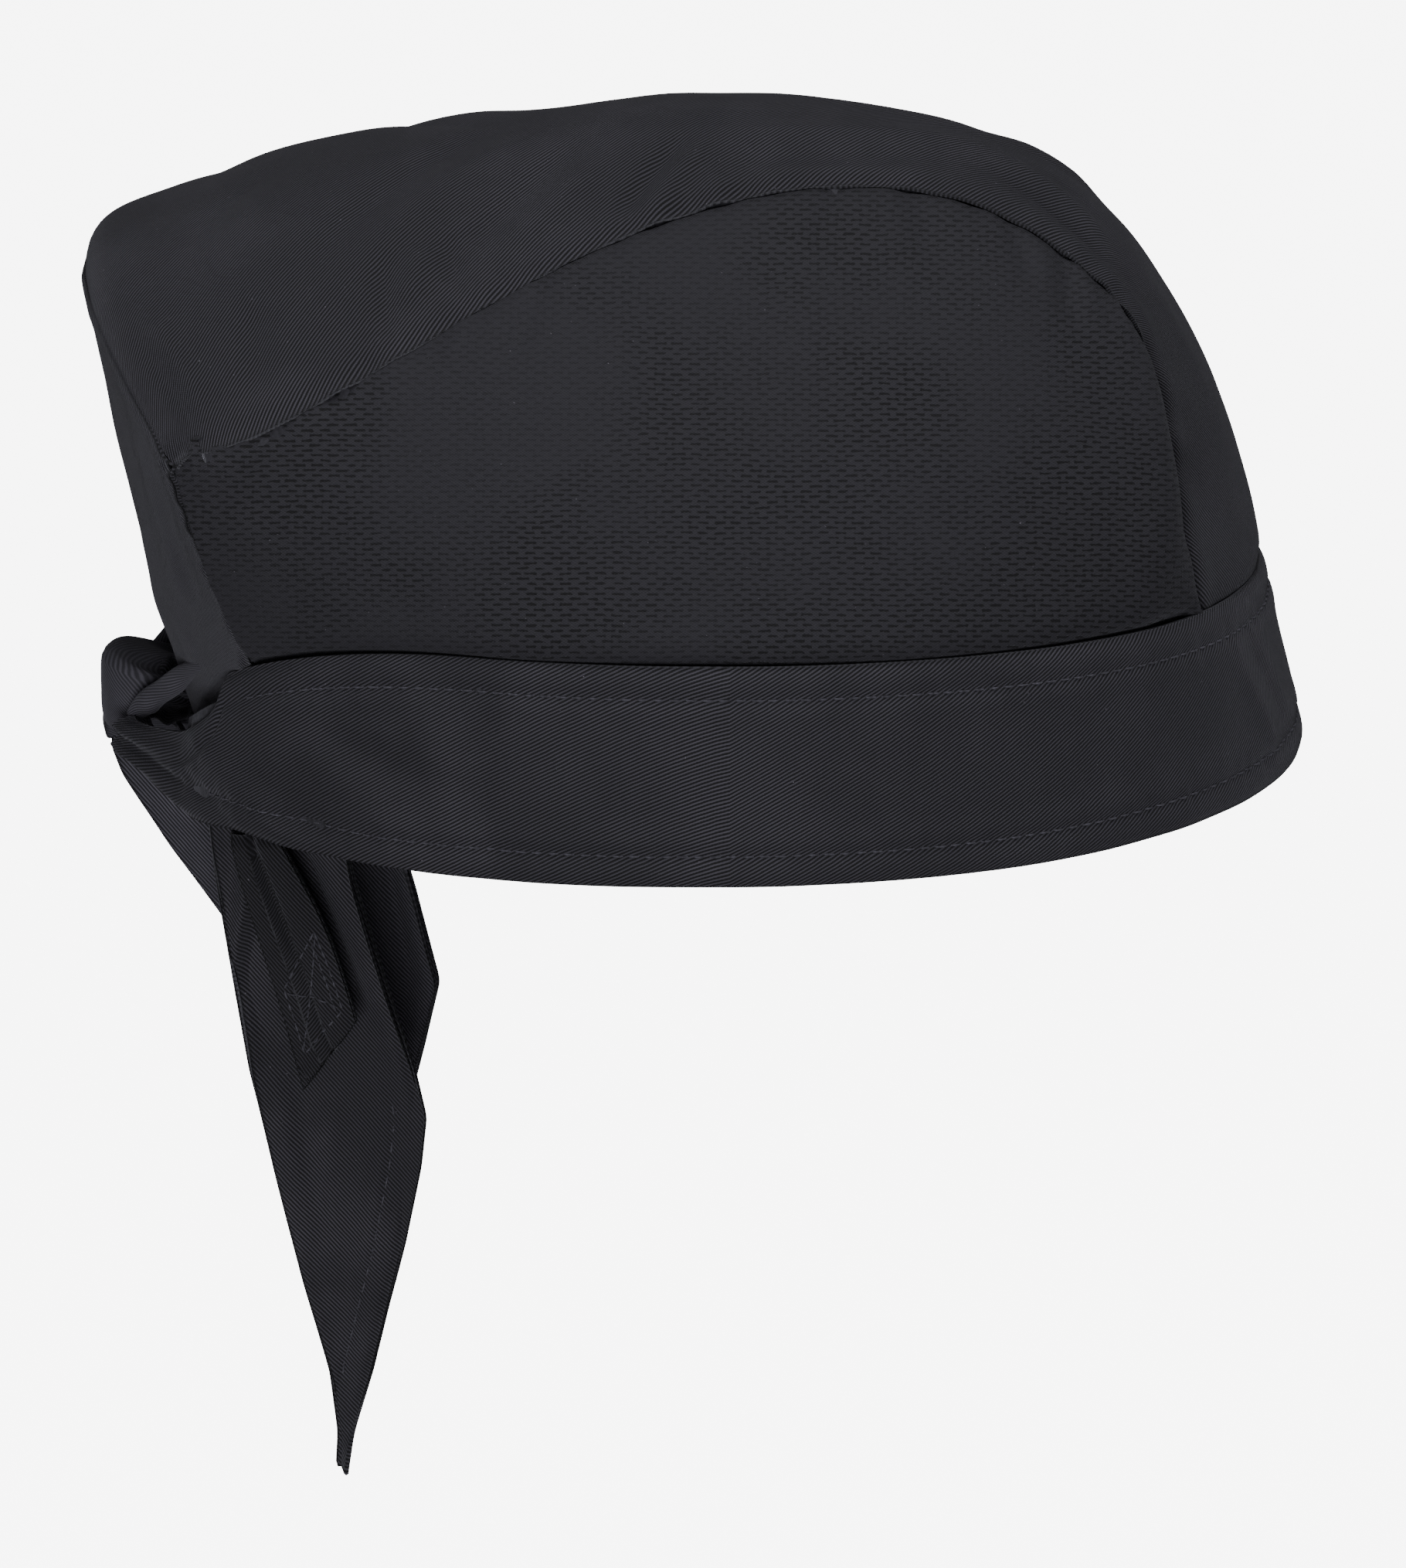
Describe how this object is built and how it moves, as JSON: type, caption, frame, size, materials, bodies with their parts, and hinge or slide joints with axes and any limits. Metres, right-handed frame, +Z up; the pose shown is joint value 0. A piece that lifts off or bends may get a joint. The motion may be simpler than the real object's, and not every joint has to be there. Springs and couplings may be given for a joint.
{
  "type": "chef bandana cap",
  "caption": "Close-fitting cloth chef cap with knitted mesh sides and a wide headband knotted at the nape, loose tie ends hanging from the knot.",
  "frame": {"origin": "centre of the head opening, in the plane of the band's lower edge", "axes": "-Y to the front of the cap, -X to the wearer's right, +Z up to the crown"},
  "size_m": [0.1604, 0.2146, 0.2501],
  "materials": {
    "twill": "matte",
    "mesh_knit": "matte",
    "lining": "matte",
    "terry": "matte",
    "thread": "satin",
    "tape": "matte",
    "label": "satin"
  },
  "bodies": {
    "root": {"headband_outer": "twill", "headband_lining": "lining", "sweatband": "terry", "band_upper_topstitch": "thread", "band_lower_topstitch": "thread", "crown_top_panel": "twill", "side_panel_left": "mesh_knit", "side_panel_right": "mesh_knit", "back_panel": "twill", "crown_seam_tape_left": "tape", "crown_seam_tape_right": "tape", "back_seam_tape": "tape", "rear_seam_tape_left": "tape", "rear_seam_tape_right": "tape", "knot_core": "twill", "knot_wrap": "twill", "band_tie_right": "twill", "band_tie_left": "twill", "tie_root_right": "twill", "tie_root_left": "twill", "care_label": "label"},
    "tail_right_upper": {"tail_right_fold": "twill"},
    "tail_right": {"tail_right_outer_ply": "twill", "tail_right_inner_ply": "twill", "tail_right_hem_stitch": "thread"},
    "strap": {"strap_outer_ply": "twill", "strap_inner_ply": "twill", "strap_box_stitch": "thread"},
    "tail_left_upper": {"tail_left_fold": "twill"},
    "tail_left": {"tail_left_inner_ply": "twill", "tail_left_outer_ply": "twill", "tail_left_hem_stitch": "thread"}
  },
  "joints": [
    {"name": "tail_right_swing", "type": "hinge", "parent": "root", "child": "tail_right_upper", "pos_m": [-0.022, 0.0729, -0.004], "axis": [1, 0, 0], "range_deg": [-15, 15]},
    {"name": "tail_right_flap", "type": "hinge", "parent": "tail_right_upper", "child": "tail_right", "pos_m": [-0.022, 0.079, -0.0135], "axis": [0, 1, 0], "range_deg": [-8, 45]},
    {"name": "strap_flap", "type": "hinge", "parent": "tail_right", "child": "strap", "pos_m": [-0.03, 0.083, -0.0095], "axis": [0, 1, 0], "range_deg": [0, 30]},
    {"name": "tail_left_swing", "type": "hinge", "parent": "root", "child": "tail_left_upper", "pos_m": [0.016, 0.0751, -0.004], "axis": [1, 0, 0], "range_deg": [-15, 3]},
    {"name": "tail_left_flap", "type": "hinge", "parent": "tail_left_upper", "child": "tail_left", "pos_m": [0.016, 0.082, -0.0135], "axis": [0, 1, 0], "range_deg": [-45, 8]}
  ]
}
